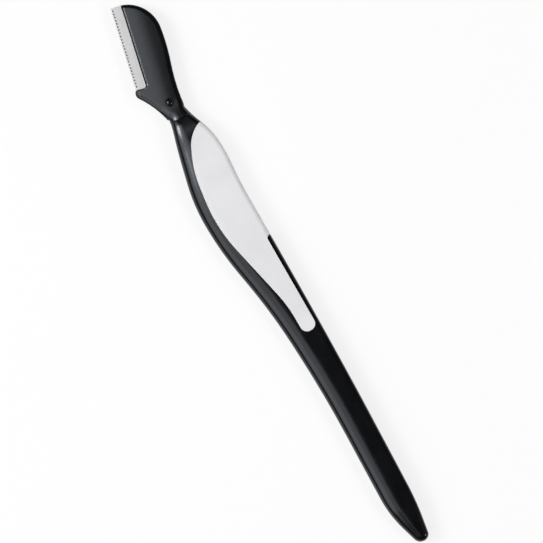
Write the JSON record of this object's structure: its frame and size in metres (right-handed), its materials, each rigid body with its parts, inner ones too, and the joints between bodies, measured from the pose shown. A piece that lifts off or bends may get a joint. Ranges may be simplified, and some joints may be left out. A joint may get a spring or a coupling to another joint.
{
  "type": "eyebrow razor",
  "caption": "Slim black eyebrow razor with a fixed slanted head, a guarded straight blade, a pale soft grip inlay and a tapering handle.",
  "frame": {"origin": "under the middle of the razor's box, on the plane its back rests on", "axes": "+X along the handle from the head to the tail, +Y away from the cutting edge, +Z out of the front face"},
  "size_m": [0.15, 0.0148, 0.005],
  "materials": {
    "black_plastic": "satin",
    "pale_elastomer": "matte",
    "blade_steel": "polished",
    "guard_steel": "satin",
    "gloss_black": "glossy"
  },
  "bodies": {
    "root": {"handle": "black_plastic", "grip_inlay": "pale_elastomer", "head_cover": "black_plastic", "blade": "blade_steel", "skin_guard": "guard_steel", "head_rivet": "gloss_black"}
  },
  "joints": []
}
